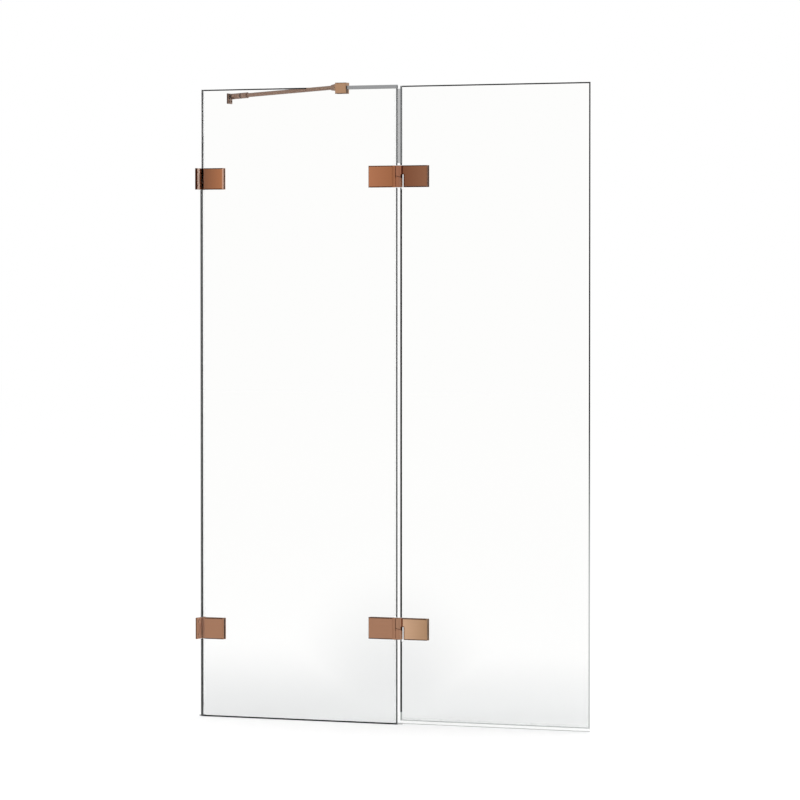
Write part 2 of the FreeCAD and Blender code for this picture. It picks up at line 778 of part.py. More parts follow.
def brace_clamp():
    half_width = clamp_width / 2
    x_span = (clamp_distance - half_width, clamp_distance + half_width)
    top_z = screen_height + clamp_cover
    z_span = (top_z - clamp_height, top_z)
    slot_y = half_glass + clamp_liner_thickness
    saddle = block(x_span, (-face_y, clamp_back_y), z_span)
    saddle = bevel_rim(saddle, "y", -face_y, clamp_bevel)
    saddle = bevel_rim(saddle, "y", clamp_back_y, clamp_bevel)
    boss = rod(clamp_boss_diameter / 2, along_brace(brace_span - clamp_boss_length), clamp_centre)
    slot_x = (x_span[0] - clamp_width, x_span[1] + clamp_width)
    slot_z = (z_span[0] - clamp_height, screen_height + clamp_liner_thickness)
    slot = block(slot_x, (-slot_y, slot_y), slot_z)
    socket = rod(bar_bore_radius, along_brace(brace_span - clamp_boss_length - cut_overrun),
                 along_brace(brace_span - clamp_boss_length + clamp_socket_depth))
    grub_x = x_span[1] - grub_screw_edge
    grub_z = z_span[0] + grub_screw_edge
    grub_radius = grub_screw_diameter / 2
    grub_hole = rod(grub_radius + screw_clearance, point(grub_x, 0, grub_z),
                    point(grub_x, clamp_back_y + cut_overrun, grub_z))
    save("brace_clamp_body", [cut_all(saddle.fuse(boss), [slot, socket, grub_hole])])

    grub_start = point(grub_x, slot_y, grub_z)
    grub_end = point(grub_x, clamp_back_y - grub_screw_sink, grub_z)
    key_start = grub_end - NORTH * grub_socket_depth
    key = hexagon(grub_socket_width, key_start, NORTH * (grub_socket_depth + cut_overrun))
    save("brace_clamp_screw", [only_solid(rod(grub_radius, grub_start, grub_end).cut(key))])

    liner_x = (x_span[0] + clamp_liner_inset, x_span[1] - clamp_liner_inset)
    liner_z = (z_span[0] + clamp_liner_inset, screen_height + clamp_liner_thickness)
    liner = block(liner_x, (-slot_y, slot_y), liner_z)
    glass_room = block(slot_x, (-half_glass, half_glass), (slot_z[0], screen_height))
    save("brace_clamp_liner", [only_solid(liner.cut(glass_room))])


os.makedirs("parts", exist_ok=True)
glass_panels()
for side, level in bracket_levels.items():
    wall_bracket(side, level)
for side, level in hinge_levels.items():
    rising_hinge(side, level)
joint_seal()
wall_seal()
door_bottom_seal()
top_edge_cap()
brace_wall_bracket()
brace_swivel_end()
brace_bar()
brace_clamp()
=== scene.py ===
# %% [markdown]
# A bath screen of two glass panels. One panel is clamped to the wall and steadied by a brace bar,
# the other is a door on two rising hinges. The metal is satin copper on brass.
# The measured model comes ready made, so this lesson dresses it: it makes the finishes, adds four soft
# fillers at the hinges, sets the screen on a pale studio floor, lights it softly and places the camera.

# %% Load the measured model
import math

import bpy
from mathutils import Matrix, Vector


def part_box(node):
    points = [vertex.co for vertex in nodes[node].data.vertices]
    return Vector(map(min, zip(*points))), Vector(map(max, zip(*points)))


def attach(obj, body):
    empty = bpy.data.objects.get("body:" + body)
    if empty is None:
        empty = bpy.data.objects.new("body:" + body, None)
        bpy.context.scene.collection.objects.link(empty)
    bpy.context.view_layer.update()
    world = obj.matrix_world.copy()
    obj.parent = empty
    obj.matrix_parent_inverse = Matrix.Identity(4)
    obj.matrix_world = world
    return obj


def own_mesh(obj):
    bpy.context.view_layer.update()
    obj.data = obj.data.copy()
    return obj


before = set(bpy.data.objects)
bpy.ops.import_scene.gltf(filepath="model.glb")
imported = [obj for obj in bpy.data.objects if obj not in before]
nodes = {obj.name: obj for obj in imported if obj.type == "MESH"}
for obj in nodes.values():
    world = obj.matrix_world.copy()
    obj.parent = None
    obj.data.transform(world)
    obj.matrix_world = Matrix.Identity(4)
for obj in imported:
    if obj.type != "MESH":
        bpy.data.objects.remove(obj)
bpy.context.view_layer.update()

bpy.ops.object.select_all(action="DESELECT")

# %% [markdown]
# Colours are easiest to choose as they look on a screen, as hex values. A shader reckons with light,
# so one function turns each of the three channels from the screen's curve to linear light.
# A second small function adds any shader node, sets its values and links its inputs. Every finish
# below is built with just these two, in a material that starts with nothing but its output.
# A Mix node has inputs for numbers, vectors and colours side by side, so the places of the ones that
# are used here get names.

# %% Helpers for every finish
MILLIMETRE = 0.001
CURVE_KNEE = 0.04045
CURVE_SLOPE = 12.92
CURVE_OFFSET = 0.055
CURVE_POWER = 2.4
WHITE = (1.0, 1.0, 1.0, 1.0)
NUMBER_A = 2
NUMBER_B = 3
COLOUR_A = 6
COLOUR_B = 7
COLOUR_OUT = 2


def linear(hex_colour):
    """Turn a screen colour such as #A56D4F into linear light."""
    channels = []
    for place in (1, 3, 5):
        value = int(hex_colour[place:place + 2], 16) / 255
        if value <= CURVE_KNEE:
            channels.append(value / CURVE_SLOPE)
        else:
            channels.append(((value + CURVE_OFFSET) / (1 + CURVE_OFFSET)) ** CURVE_POWER)
    return (*channels, 1.0)


def add(tree, kind, inputs=None, **settings):
    """Add a node, set its options, and give each named input a value or a link."""
    made = tree.nodes.new("ShaderNode" + kind)
    for name, value in settings.items():
        setattr(made, name, value)
    for socket, value in (inputs or {}).items():
        if isinstance(value, bpy.types.NodeSocket):
            tree.links.new(value, made.inputs[socket])
        else:
            made.inputs[socket].default_value = value
    return made


def new_finish(name):
    """A material with an empty node tree and its output."""
    finish = bpy.data.materials.new(name)
    finish.use_nodes = True
    finish.node_tree.nodes.clear()
    output = add(finish.node_tree, "OutputMaterial")
    return finish, finish.node_tree, output


print("mid grey is", [round(value, 3) for value in linear("#808080")])

# %% [markdown]
# Toughened clear glass, six millimetres thick with ground and polished edges. Face on it is nearly
# unseen. Only the low part of the panels carries a soft grey veil of painted shade, which rises highest
# at the joint. It is made of three masks: a faint haze, a band along the bottom, and a hill that a
# spherical gradient gives once its coordinates are stretched. Places on the glass are in metres from the
# wall and the floor.

# %% The painted shade veil low on the glass
VEIL_MIDDLE = (0.50, 0.0, 0.0)
VEIL_REACH = (0.32, 1.0, 0.39)
VEIL_SLOPE = 0.8
VEIL_BAND_TOP = 0.20
VEIL_BAND_FULL = 0.03
VEIL_HAZE_TOP = 0.65
VEIL_HAZE_FULL = 0.15
VEIL_HAZE = 0.22


def painted_shade_veil_mask(tree, coords, place):
    """Painted shade: a faint haze, a band along the bottom and a soft hill about the joint."""
    haze = add(tree, "MapRange", {"Value": place.outputs["Z"], "From Min": VEIL_HAZE_TOP,
                                  "From Max": VEIL_HAZE_FULL, "To Max": VEIL_HAZE},
               interpolation_type="SMOOTHSTEP")
    band = add(tree, "MapRange", {"Value": place.outputs["Z"], "From Min": VEIL_BAND_TOP,
                                  "From Max": VEIL_BAND_FULL, "To Max": 1 - VEIL_HAZE},
               interpolation_type="SMOOTHSTEP")
    scale = [1 / length for length in VEIL_REACH]
    shift = [-start / length for start, length in zip(VEIL_MIDDLE, VEIL_REACH)]
    spot = add(tree, "Mapping", {"Vector": coords.outputs["Object"], "Location": shift, "Scale": scale})
    cone = add(tree, "TexGradient", {0: spot.outputs[0]}, gradient_type="SPHERICAL")
    hill = add(tree, "MapRange", {"Value": cone.outputs[1], "From Max": VEIL_SLOPE,
                                  "To Max": 1 - VEIL_HAZE},
               interpolation_type="SMOOTHSTEP")
    thicker = add(tree, "Math", {0: band.outputs[0], 1: hill.outputs[0]}, operation="MAXIMUM")
    return add(tree, "Math", {0: haze.outputs[0], 1: thicker.outputs[0]}, operation="ADD", use_clamp=True)


print("the veil fades out", VEIL_HAZE_TOP, "m above the floor")

# %% [markdown]
# What shows of clear glass is its edges, because light that enters an edge is thrown to and fro inside
# the sheet and little of it comes out again, so they look almost black. That shade is painted on: a mask
# read from each face's direction tells the broad faces from the edges, which get a dark shader.
# A dark edge also shows through the face beside it, so a few narrow bands of painted shade join the mask.
# At the wall the band is drawn above the upper clamp only, and further down the clear wall seal carries
# that painted line. The upright sides of the cut-outs at the hinges stay clear, because silicone is bonded
# to them and light passes on. In the lower clamp the edge is lit by the metal around it and does not look
# dark, so no shade is painted there.

# %% Where shade is painted on the glass
FACE_FROM = 0.90
FACE_TO = 0.99
NOTCH_SIDES = (0.5065, 0.5325)
NOTCH_WINDOW = 0.0003
LOWER_CLAMP = 0.212
UPPER_CLAMP = 1.287
CLAMP_HALF_HEIGHT = 0.0255
WALL_SIDE_TO = 0.02
WALL_BAND = (0.0089, 0.0013, UPPER_CLAMP + CLAMP_HALF_HEIGHT)
OTHER_BANDS = (("X", 0.5258, 0.0010), ("Z", 1.4985, 0.0014), ("Z", 0.0023, 0.0007))


def stretch_mask(tree, place, middle, half_width, lowest):
    """One on a stretch along the screen, above a level."""
    beside = add(tree, "Math", {0: place.outputs["X"], 1: middle, 2: half_width}, operation="COMPARE")
    above = add(tree, "Math", {0: place.outputs["Z"], 1: lowest}, operation="GREATER_THAN")
    return add(tree, "Math", {0: beside.outputs[0], 1: above.outputs[0]}, operation="MULTIPLY")


def edge_shade_mask(tree, coords, place):
    """Painted shade: one on the edges and the bands beside them, nought on the broad faces."""
    facing = add(tree, "SeparateXYZ", {0: coords.outputs["Normal"]})
    across = add(tree, "Math", {0: facing.outputs["Y"]}, operation="ABSOLUTE")
    edge = add(tree, "MapRange", {"Value": across.outputs[0], "From Min": FACE_TO, "From Max": FACE_FROM})
    for side_x in NOTCH_SIDES:
        bonded = add(tree, "Math", {0: place.outputs["X"], 1: side_x, 2: NOTCH_WINDOW}, operation="COMPARE")
        edge = add(tree, "Math", {0: edge.outputs[0], 1: bonded.outputs[0]}, operation="SUBTRACT",
                   use_clamp=True)
    band = stretch_mask(tree, place, *WALL_BAND)
    for axis, middle, half_width in OTHER_BANDS:
        other = add(tree, "Math", {0: place.outputs[axis], 1: middle, 2: half_width}, operation="COMPARE")
        band = add(tree, "Math", {0: band.outputs[0], 1: other.outputs[0]}, operation="MAXIMUM")
    dark = add(tree, "Math", {0: edge.outputs[0], 1: band.outputs[0]}, operation="MAXIMUM")
    in_clamp = add(tree, "Math", {0: place.outputs["Z"], 1: LOWER_CLAMP, 2: CLAMP_HALF_HEIGHT},
                   operation="COMPARE")
    at_wall = add(tree, "Math", {0: place.outputs["X"], 1: WALL_SIDE_TO}, operation="LESS_THAN")
    lit = add(tree, "Math", {0: in_clamp.outputs[0], 1: at_wall.outputs[0]}, operation="MULTIPLY")
    return add(tree, "Math", {0: dark.outputs[0], 1: lit.outputs[0]}, operation="SUBTRACT", use_clamp=True)


print("dark bands beside the edges:", 1 + len(OTHER_BANDS))

# %% [markdown]
# The painted shade of the edges is not black all along. The free edge of the door gets paler towards the
# floor, and so does the door's lower edge, with a painted reflection of the pale floor. Beside the brace
# clamp the bar lies close behind the top edge, and a painted reflection gives that edge the bar's copper
# there. At the joint above the upper hinge the edges look grey beside the seal.

# %% Painted shade and reflections on the glass edges
# The painted shade of the glass edges, then the tones of their painted reflections.
DARK_EDGE = "#0B0D0C"
EDGE_FLOOR_REFLECTION = "#C4C8C6"
PALE_FROM = 0.75
PALE_TO = 0.25
FREE_EDGE_FROM = 0.70
FREE_EDGE_TO = 0.95
DOOR_FROM = 0.52
DOOR_LOW = 0.03
BAR_REFLECTION_STRETCH = (0.321, 0.039, 1.495)
BAR_REFLECTION_TONE = "#8A7465"
JOINT_STRETCH = (0.5205, 0.0085, 1.318)
JOINT_TONE = "#7E8081"


def floor_reflection_mask(tree, place):
    """Painted reflection of the floor: one low on the free edge of the door and along its lower edge."""
    low = add(tree, "MapRange", {"Value": place.outputs["Z"], "From Min": PALE_FROM, "From Max": PALE_TO},
              interpolation_type="SMOOTHSTEP")
    free = add(tree, "MapRange", {"Value": place.outputs["X"], "From Min": FREE_EDGE_FROM,
                                  "From Max": FREE_EDGE_TO})
    side = add(tree, "Math", {0: low.outputs[0], 1: free.outputs[0]}, operation="MULTIPLY")
    under = add(tree, "Math", {0: place.outputs["Z"], 1: DOOR_LOW}, operation="LESS_THAN")
    on_door = add(tree, "Math", {0: place.outputs["X"], 1: DOOR_FROM}, operation="GREATER_THAN")
    lower = add(tree, "Math", {0: under.outputs[0], 1: on_door.outputs[0]}, operation="MULTIPLY")
    return add(tree, "Math", {0: side.outputs[0], 1: lower.outputs[0]}, operation="MAXIMUM")


def edge_shade_tone(tree, place):
    """Painted edge shade, with painted reflections of the floor and the bar and grey at the joint."""
    pale = floor_reflection_mask(tree, place)
    colour = add(tree, "Mix", {0: pale.outputs[0], COLOUR_A: linear(DARK_EDGE), COLOUR_B: linear(EDGE_FLOOR_REFLECTION)},
                 data_type="RGBA")
    for stretch, tone in ((BAR_REFLECTION_STRETCH, BAR_REFLECTION_TONE), (JOINT_STRETCH, JOINT_TONE)):
        tinted = stretch_mask(tree, place, *stretch)
        colour = add(tree, "Mix", {0: tinted.outputs[0], COLOUR_A: colour.outputs[COLOUR_OUT],
                                   COLOUR_B: linear(tone)}, data_type="RGBA")
    return colour


print("edge tones:", DARK_EDGE, EDGE_FLOOR_REFLECTION, BAR_REFLECTION_TONE, JOINT_TONE)

# %% [markdown]
# The faces get a real glass shader with the faint waves that the rollers of the oven leave, and the edges
# a dark one that carries their painted shade and painted reflections. Window glass bends light by 1.5. The
# faces take less, because they would mirror the white studio and lay a haze over the metal behind them. To
# the light of the lamp the glass is a clear filter, so that it casts no dark shadow on the floor.

# %% Clear glass
FACE_IOR = 1.2
EDGE_IOR = 1.5
EDGE_ROUGHNESS = 0.30
EDGE_SPECULAR = 0.08
ROLLER_WAVE = 260 * MILLIMETRE
ROLLER_HEIGHT = 0.02 * MILLIMETRE
CLEAR_TONE = "#FDFDFC"
PAINTED_SHADE_TONE = "#E6E7E7"
SHADOW_TINT = "#F2F5F4"


def clear_glass(name):
    """Clear faces, painted shade on the edges, and a veil of painted shade near the floor."""
    finish, tree, output = new_finish(name)
    coords = add(tree, "TexCoord")
    place = add(tree, "SeparateXYZ", {0: coords.outputs["Object"]})
    veil = painted_shade_veil_mask(tree, coords, place)
    # The veil mixes painted shade into the colour of the faces.
    face_colour = add(tree, "Mix", {0: veil.outputs[0], COLOUR_A: linear(CLEAR_TONE),
                                    COLOUR_B: linear(PAINTED_SHADE_TONE)}, data_type="RGBA")
    waves = add(tree, "TexNoise", {"Vector": coords.outputs["Object"], "Scale": 1 / ROLLER_WAVE,
                                   "Detail": 0.0})
    ripple = add(tree, "Bump", {"Height": waves.outputs[0], "Distance": ROLLER_HEIGHT, "Strength": 1.0})
    face = add(tree, "BsdfPrincipled", {
        "Base Color": face_colour.outputs[COLOUR_OUT], "Roughness": 0.0, "IOR": FACE_IOR,
        "Transmission Weight": 1.0, "Normal": ripple.outputs[0]})

    edge_colour = edge_shade_tone(tree, place)
    edge = add(tree, "BsdfPrincipled", {
        "Base Color": edge_colour.outputs[COLOUR_OUT], "Roughness": EDGE_ROUGHNESS, "IOR": EDGE_IOR,
        "Specular IOR Level": EDGE_SPECULAR})
    # The mask of painted shade picks the dark shader for the edges and the bands beside them.
    is_edge = edge_shade_mask(tree, coords, place)
    sheet = add(tree, "MixShader", {0: is_edge.outputs[0], 1: face.outputs[0], 2: edge.outputs[0]})
    light_path = add(tree, "LightPath")
    let_through = add(tree, "BsdfTransparent", {"Color": linear(SHADOW_TINT)})
    glass = add(tree, "MixShader", {0: light_path.outputs["Is Shadow Ray"], 1: sheet.outputs[0],
                                    2: let_through.outputs[0]})
    tree.links.new(glass.outputs[0], output.inputs["Surface"])
    return finish


glass = clear_glass("Toughened clear glass")
print("glass finish:", glass.name, "with", len(glass.node_tree.nodes), "nodes")

# %% [markdown]
# Satin copper: a thin copper-coloured coating on brushed brass. The brushing leaves fine lines along
# each plate, which spread the shine and soften every reflection. The bevels above and below are polished
# without that brushing, so they come out darker and close each plate with a fine dark border. The round
# bar of the brace darkens in the same way towards its upper and lower side. The outer half of each wall
# plate catches the light.

# %% Painted shade on the borders and painted highlights on the wall plates
BEVEL_SLOPE = math.sqrt(0.5)
BEVEL_WINDOW = 0.012
BEVEL_SHADE = 0.85
ROUND_SHADE = 0.30
ROUND_FROM = 0.30
ROUND_TO = 0.95
WALL_PLATE_END = 7.5 * MILLIMETRE
BRACE_CLAMP_START = 358 * MILLIMETRE
FACING_OUT = 0.6
GLINT_MIDDLE = -15.7 * MILLIMETRE
GLINT_HALF_WIDTH = 5.7 * MILLIMETRE


def border_shade(tree, facing, place, border_from):
    """Painted shade on bevels beyond a distance from the wall, and on upper and lower sides before it."""
    upright = add(tree, "Math", {0: facing.outputs["Z"]}, operation="ABSOLUTE")
    bevel = add(tree, "Math", {0: upright.outputs[0], 1: BEVEL_SLOPE, 2: BEVEL_WINDOW}, operation="COMPARE")
    bevel = add(tree, "Math", {0: bevel.outputs[0], 1: BEVEL_SHADE}, operation="MULTIPLY")
    rolled = add(tree, "MapRange", {"Value": upright.outputs[0], "From Min": ROUND_FROM,
                                    "From Max": ROUND_TO, "To Max": ROUND_SHADE})
    beyond = add(tree, "Math", {0: place.outputs["X"], 1: border_from}, operation="GREATER_THAN")
    return add(tree, "Mix", {0: beyond.outputs[0], NUMBER_A: rolled.outputs[0], NUMBER_B: bevel.outputs[0]})


def painted_highlight_mask(tree, facing, place):
    """Painted highlight: one on the outer half of a wall plate's front."""
    outward = add(tree, "Math", {0: facing.outputs["X"], 1: FACING_OUT}, operation="GREATER_THAN")
    at_wall = add(tree, "Math", {0: place.outputs["X"], 1: WALL_PLATE_END}, operation="LESS_THAN")
    on_front = add(tree, "Math", {0: outward.outputs[0], 1: at_wall.outputs[0]}, operation="MULTIPLY")
    outer = add(tree, "Math", {0: place.outputs["Y"], 1: GLINT_MIDDLE, 2: GLINT_HALF_WIDTH},
                operation="COMPARE")
    return add(tree, "Math", {0: on_front.outputs[0], 1: outer.outputs[0]}, operation="MULTIPLY")


print("wall plates end at", WALL_PLATE_END, "m, the brace clamp starts at", BRACE_CLAMP_START, "m")

# %% [markdown]
# Close to the wall, and on the flank of each fixed knuckle, the coating is left matt, so that it does not
# only mirror the dark recess there.
# Each hinge knuckle parts along a screw-shaped ramp, on which the door climbs as it opens. The gap there
# is a third of a millimetre, too fine to show, so a dark line beside it is drawn wider. Its height follows
# the angle about the hinge axis, which arctan2 gives.

# %% Matt places and parting lines
MATT_TO = 15 * MILLIMETRE
POLISHED_FROM = 19 * MILLIMETRE
RECESS_MIDDLE = 20 * MILLIMETRE
RECESS_HALF_WIDTH = 41.4 * MILLIMETRE
FLANK_FROM = 524.0 * MILLIMETRE
FLANK_TO = 526.0 * MILLIMETRE
HINGE_X = 0.5195
RAMP_RISE = 4 * MILLIMETRE
RAMP_LINE = 0.8 * MILLIMETRE
KNUCKLE_REACH = 9.3 * MILLIMETRE
PARTING_SHADE = 0.85
PARTING_LEVELS = {"upper_hinge": 1.288, "lower_hinge": 0.226}


def bare_metal(tree, place, matt_flank):
    """One on polished metal, nought on the matt coating at the wall and beside a knuckle."""
    near_wall = add(tree, "MapRange", {"Value": place.outputs["X"], "From Min": POLISHED_FROM,
                                       "From Max": MATT_TO})
    near_glass = add(tree, "Math", {0: place.outputs["Y"], 1: RECESS_MIDDLE, 2: RECESS_HALF_WIDTH},
                     operation="COMPARE")
    matt = add(tree, "Math", {0: near_wall.outputs[0], 1: near_glass.outputs[0]}, operation="MULTIPLY")
    if matt_flank:
        flank = add(tree, "MapRange", {"Value": place.outputs["X"], "From Min": FLANK_FROM,
                                       "From Max": FLANK_TO})
        matt = add(tree, "Math", {0: matt.outputs[0], 1: flank.outputs[0]}, operation="MAXIMUM")
    return add(tree, "Math", {0: 1.0, 1: matt.outputs[0]}, operation="SUBTRACT")


def parting_line(tree, place, level):
    """One along the ramp between the two halves of a hinge knuckle."""
    out = add(tree, "Math", {0: place.outputs["X"], 1: HINGE_X}, operation="SUBTRACT")
    angle = add(tree, "Math", {0: place.outputs["Y"], 1: out.outputs[0]}, operation="ARCTAN2")
    ramp = add(tree, "MapRange", {"Value": angle.outputs[0], "From Min": -math.pi, "From Max": 0.0,
                                  "To Min": level + RAMP_RISE, "To Max": level - RAMP_RISE})
    on_ramp = add(tree, "Math", {0: place.outputs["Z"], 1: ramp.outputs[0], 2: RAMP_LINE},
                  operation="COMPARE")
    spoke = add(tree, "CombineXYZ", {0: out.outputs[0], 1: place.outputs["Y"]})
    reach = add(tree, "VectorMath", {0: spoke.outputs[0]}, operation="LENGTH")
    near = add(tree, "Math", {0: reach.outputs["Value"], 1: KNUCKLE_REACH}, operation="LESS_THAN")
    line = add(tree, "Math", {0: on_ramp.outputs[0], 1: near.outputs[0]}, operation="MULTIPLY")
    return add(tree, "Math", {0: line.outputs[0], 1: PARTING_SHADE}, operation="MULTIPLY")


print("parting lines at", sorted(PARTING_LEVELS.values()), "m")

# %% [markdown]
# Each finish has a colour ramp along the screen, with its stops given in millimetres from the wall. The
# ramps hold painted light and shade along with the copper's tone: dark stops paint shade on side faces, in
# recesses and in the grooves beside the knuckles, pale stops paint highlights on bevels, flanks and jaw
# seats, and the tones that differ from piece to piece stand in for how the light falls on each. Before
# them stands the tone of the painted highlight on a wall plate. Before them stands the
# tone that a wall plate has where it catches the light.

# %% Tones, painted light and painted shade along the screen
COPPER_TONES_LIGHT_AND_SHADE = {
    # Each entry: the painted highlight of a wall plate, then stops where dark is painted shade and pale is
    # painted light.
    "upper_wall_bracket": ("#FADAC6", (
        (0, "#3A1C10"), (4.6, "#3A1C10"), (4.8, "#8A5238"), (12, "#5E321E"),
        (17, "#825740"), (63.6, "#A86F4D"), (64.4, "#CFA48E"), (66, "#CFA48E"))),
    "lower_wall_bracket": ("#CC9C82", (
        (0, "#5A3C2C"), (2.4, "#5A3C2C"), (2.6, "#A2785F"), (4.6, "#A2785F"),
        (4.8, "#D8A68A"), (12, "#D09A7C"), (17, "#A2785F"), (66, "#A2785F"))),
    "upper_hinge_fixed": ("#AD7353", (
        (444.5, "#6E422E"), (446.5, "#AD7353"), (506, "#9D6647"), (524, "#9D6A52"),
        (526.5, "#A87458"), (528.5, "#A87458"))),
    "upper_hinge_door": ("#794C36", (
        (510, "#9D6A52"), (528, "#9D6A52"), (528.4, "#4A1E12"), (531.2, "#4A1E12"),
        (531.7, "#794C36"), (594.5, "#8C6048"))),
    "lower_hinge_fixed": ("#A2785F", (
        (444.5, "#6E4C3A"), (446.5, "#A2785F"), (524, "#A2785F"),
        (526.5, "#BE9074"), (528.5, "#BE9074"))),
    "lower_hinge_door": ("#A27B63", (
        (510, "#A27B63"), (528, "#A27B63"), (528.4, "#6A3A26"), (531.2, "#6A3A26"),
        (531.7, "#C9A385"), (594.5, "#A98668"))),
    "brace": ("#E2C4B2", (
        (0, "#4A382E"), (4, "#4A382E"), (4.6, "#9A7C6A"), (5.4, "#9A7C6A"), (6, "#2A1C16"),
        (9, "#2A1C16"), (10.5, "#8E7364"), (345, "#8E7364"), (352, "#AA866A"), (390, "#AA866A"))),
}


def tone_and_shade_ramp(tree, place, stops):
    """A ramp along the screen from stops of millimetres and tone, painted light and shade among them."""
    first = stops[0][0]
    last = stops[-1][0]
    along = add(tree, "MapRange", {"Value": place.outputs["X"], "From Min": first * MILLIMETRE,
                                   "From Max": last * MILLIMETRE})
    ramp = add(tree, "ValToRGB", {0: along.outputs[0]})
    colour_stops = ramp.color_ramp.elements
    while len(colour_stops) < len(stops):
        colour_stops.new(1.0)
    for colour_stop, (distance, tone) in zip(colour_stops, stops):
        colour_stop.position = (distance - first) / (last - first)
        colour_stop.color = linear(tone)
    return ramp


print("tone stops:", {piece: len(stops) for piece, (glint, stops) in COPPER_TONES_LIGHT_AND_SHADE.items()})

# %% [markdown]
# Now the finish itself. Noise that is stretched along the screen makes the brush lines. They darken the
# tone a little, vary the roughness and raise a fine bump. The painted highlight of the wall plates lightens
# the tone, the painted shade of the borders and the parting lines darken it further, and the matt places
# lose their metallic shine.

# %% Satin copper
BRUSH_LENGTH = 40 * MILLIMETRE
# Real brush lines are about a tenth of this apart. They are drawn coarser so that they show.
BRUSH_SPACING = 1.2 * MILLIMETRE
BRUSH_HEIGHT = 0.01 * MILLIMETRE
BRUSH_STRENGTH = 0.5
BRUSH_DETAIL = 2.0
BRUSH_SHADE = 0.08
SATIN_LOW = 0.26
SATIN_HIGH = 0.40
DARK_COPPER = "#3A1E14"


def satin_copper(name, glint, border_from, stops, parting_level, matt_flank):
    """Brushed copper with a tone, painted light and painted shade for each place along the screen."""
    finish, tree, output = new_finish(name)
    coords = add(tree, "TexCoord")
    place = add(tree, "SeparateXYZ", {0: coords.outputs["Object"]})
    facing = add(tree, "SeparateXYZ", {0: coords.outputs["Normal"]})
    ramp = tone_and_shade_ramp(tree, place, stops)
    # The painted highlight on the outer half of each wall plate.
    painted_highlight = painted_highlight_mask(tree, facing, place)
    tone = add(tree, "Mix", {0: painted_highlight.outputs[0], COLOUR_A: ramp.outputs[0], COLOUR_B: linear(glint)},
               data_type="RGBA")
    brush_scale = (1 / BRUSH_LENGTH, 1 / BRUSH_SPACING, 1 / BRUSH_SPACING)
    brush_place = add(tree, "Mapping", {"Vector": coords.outputs["Object"], "Scale": brush_scale})
    lines = add(tree, "TexNoise", {"Vector": brush_place.outputs[0], "Scale": 1.0, "Detail": BRUSH_DETAIL})
    grain = add(tree, "Math", {0: lines.outputs[0], 1: BRUSH_SHADE}, operation="MULTIPLY")

    # Painted shade on the borders, added to the darkening of the brush lines.
    border = border_shade(tree, facing, place, border_from)
    dark = add(tree, "Math", {0: grain.outputs[0], 1: border.outputs[0]}, operation="ADD", use_clamp=True)
    if parting_level:
        line = parting_line(tree, place, parting_level)
        dark = add(tree, "Math", {0: dark.outputs[0], 1: line.outputs[0]}, operation="MAXIMUM")
    colour = add(tree, "Mix", {0: dark.outputs[0], COLOUR_A: tone.outputs[COLOUR_OUT],
                               COLOUR_B: linear(DARK_COPPER)}, data_type="RGBA")
    shine = add(tree, "MapRange", {"Value": lines.outputs[0], "To Min": SATIN_LOW, "To Max": SATIN_HIGH})
    bare = bare_metal(tree, place, matt_flank)
    scratch = add(tree, "Bump", {"Height": lines.outputs[0], "Distance": BRUSH_HEIGHT,
                                 "Strength": BRUSH_STRENGTH})
    metal = add(tree, "BsdfPrincipled", {
        "Base Color": colour.outputs[COLOUR_OUT], "Metallic": bare.outputs[0],
        "Roughness": shine.outputs[0], "Normal": scratch.outputs[0]})
    tree.links.new(metal.outputs[0], output.inputs["Surface"])
    return finish


copper = {}
for piece, (glint, stops) in COPPER_TONES_LIGHT_AND_SHADE.items():
    border_from = BRACE_CLAMP_START if piece == "brace" else WALL_PLATE_END
    parting_level = PARTING_LEVELS.get(piece.rsplit("_", 1)[0])
    name = "Satin copper, " + piece.replace("_", " ")
    matt_flank = piece.endswith("hinge_fixed")
    copper[piece] = satin_copper(name, glint, border_from, stops, parting_level, matt_flank)
print("copper finishes:", len(copper))

# %% [markdown]
# The seals are clear soft PVC, extruded, with a slight haze. Such a thin wall hides little of what is
# behind it, so the plastic is mixed with a transparent shader and only a small share of it shows.
# The lip at the joint is grey near the top, and the lowest tip is painted dark as shade. The fin of the
# wall seal lies against the edge of the glass and carries its painted dark line below the upper clamp.

# %% Clear seals
PVC_IOR = 1.53
SEAL_TONE = "#E9ECEC"
SEAL_GREY = "#6A6C6D"
SEAL_GREY_FROM = 1.30
SEAL_LIP_FROM = 0.515
SEAL_TIP_TO = 4 * MILLIMETRE
SEAL_SHINE_LOW = 0.12
SEAL_SHINE_HIGH = 0.28
SEAL_SHARE_CLEAR = 0.03
SEAL_SHARE_GREY = 0.34
HAZE_SIZE = 12 * MILLIMETRE
HAZE_DETAIL = 2.0
GLASS_LINE_MIDDLE = 4.9 * MILLIMETRE
GLASS_LINE_HALF_WIDTH = 1.1 * MILLIMETRE
GLASS_LINE_SHARE = 0.75


def glass_line_shade_mask(tree, place):
    """Painted shade: one on the fin of the wall seal against the glass, below the upper clamp."""
    beside = add(tree, "Math", {0: place.outputs["X"], 1: GLASS_LINE_MIDDLE, 2: GLASS_LINE_HALF_WIDTH},
                 operation="COMPARE")
    below = add(tree, "Math", {0: place.outputs["Z"], 1: UPPER_CLAMP}, operation="LESS_THAN")
    return add(tree, "Math", {0: beside.outputs[0], 1: below.outputs[0]}, operation="MULTIPLY")


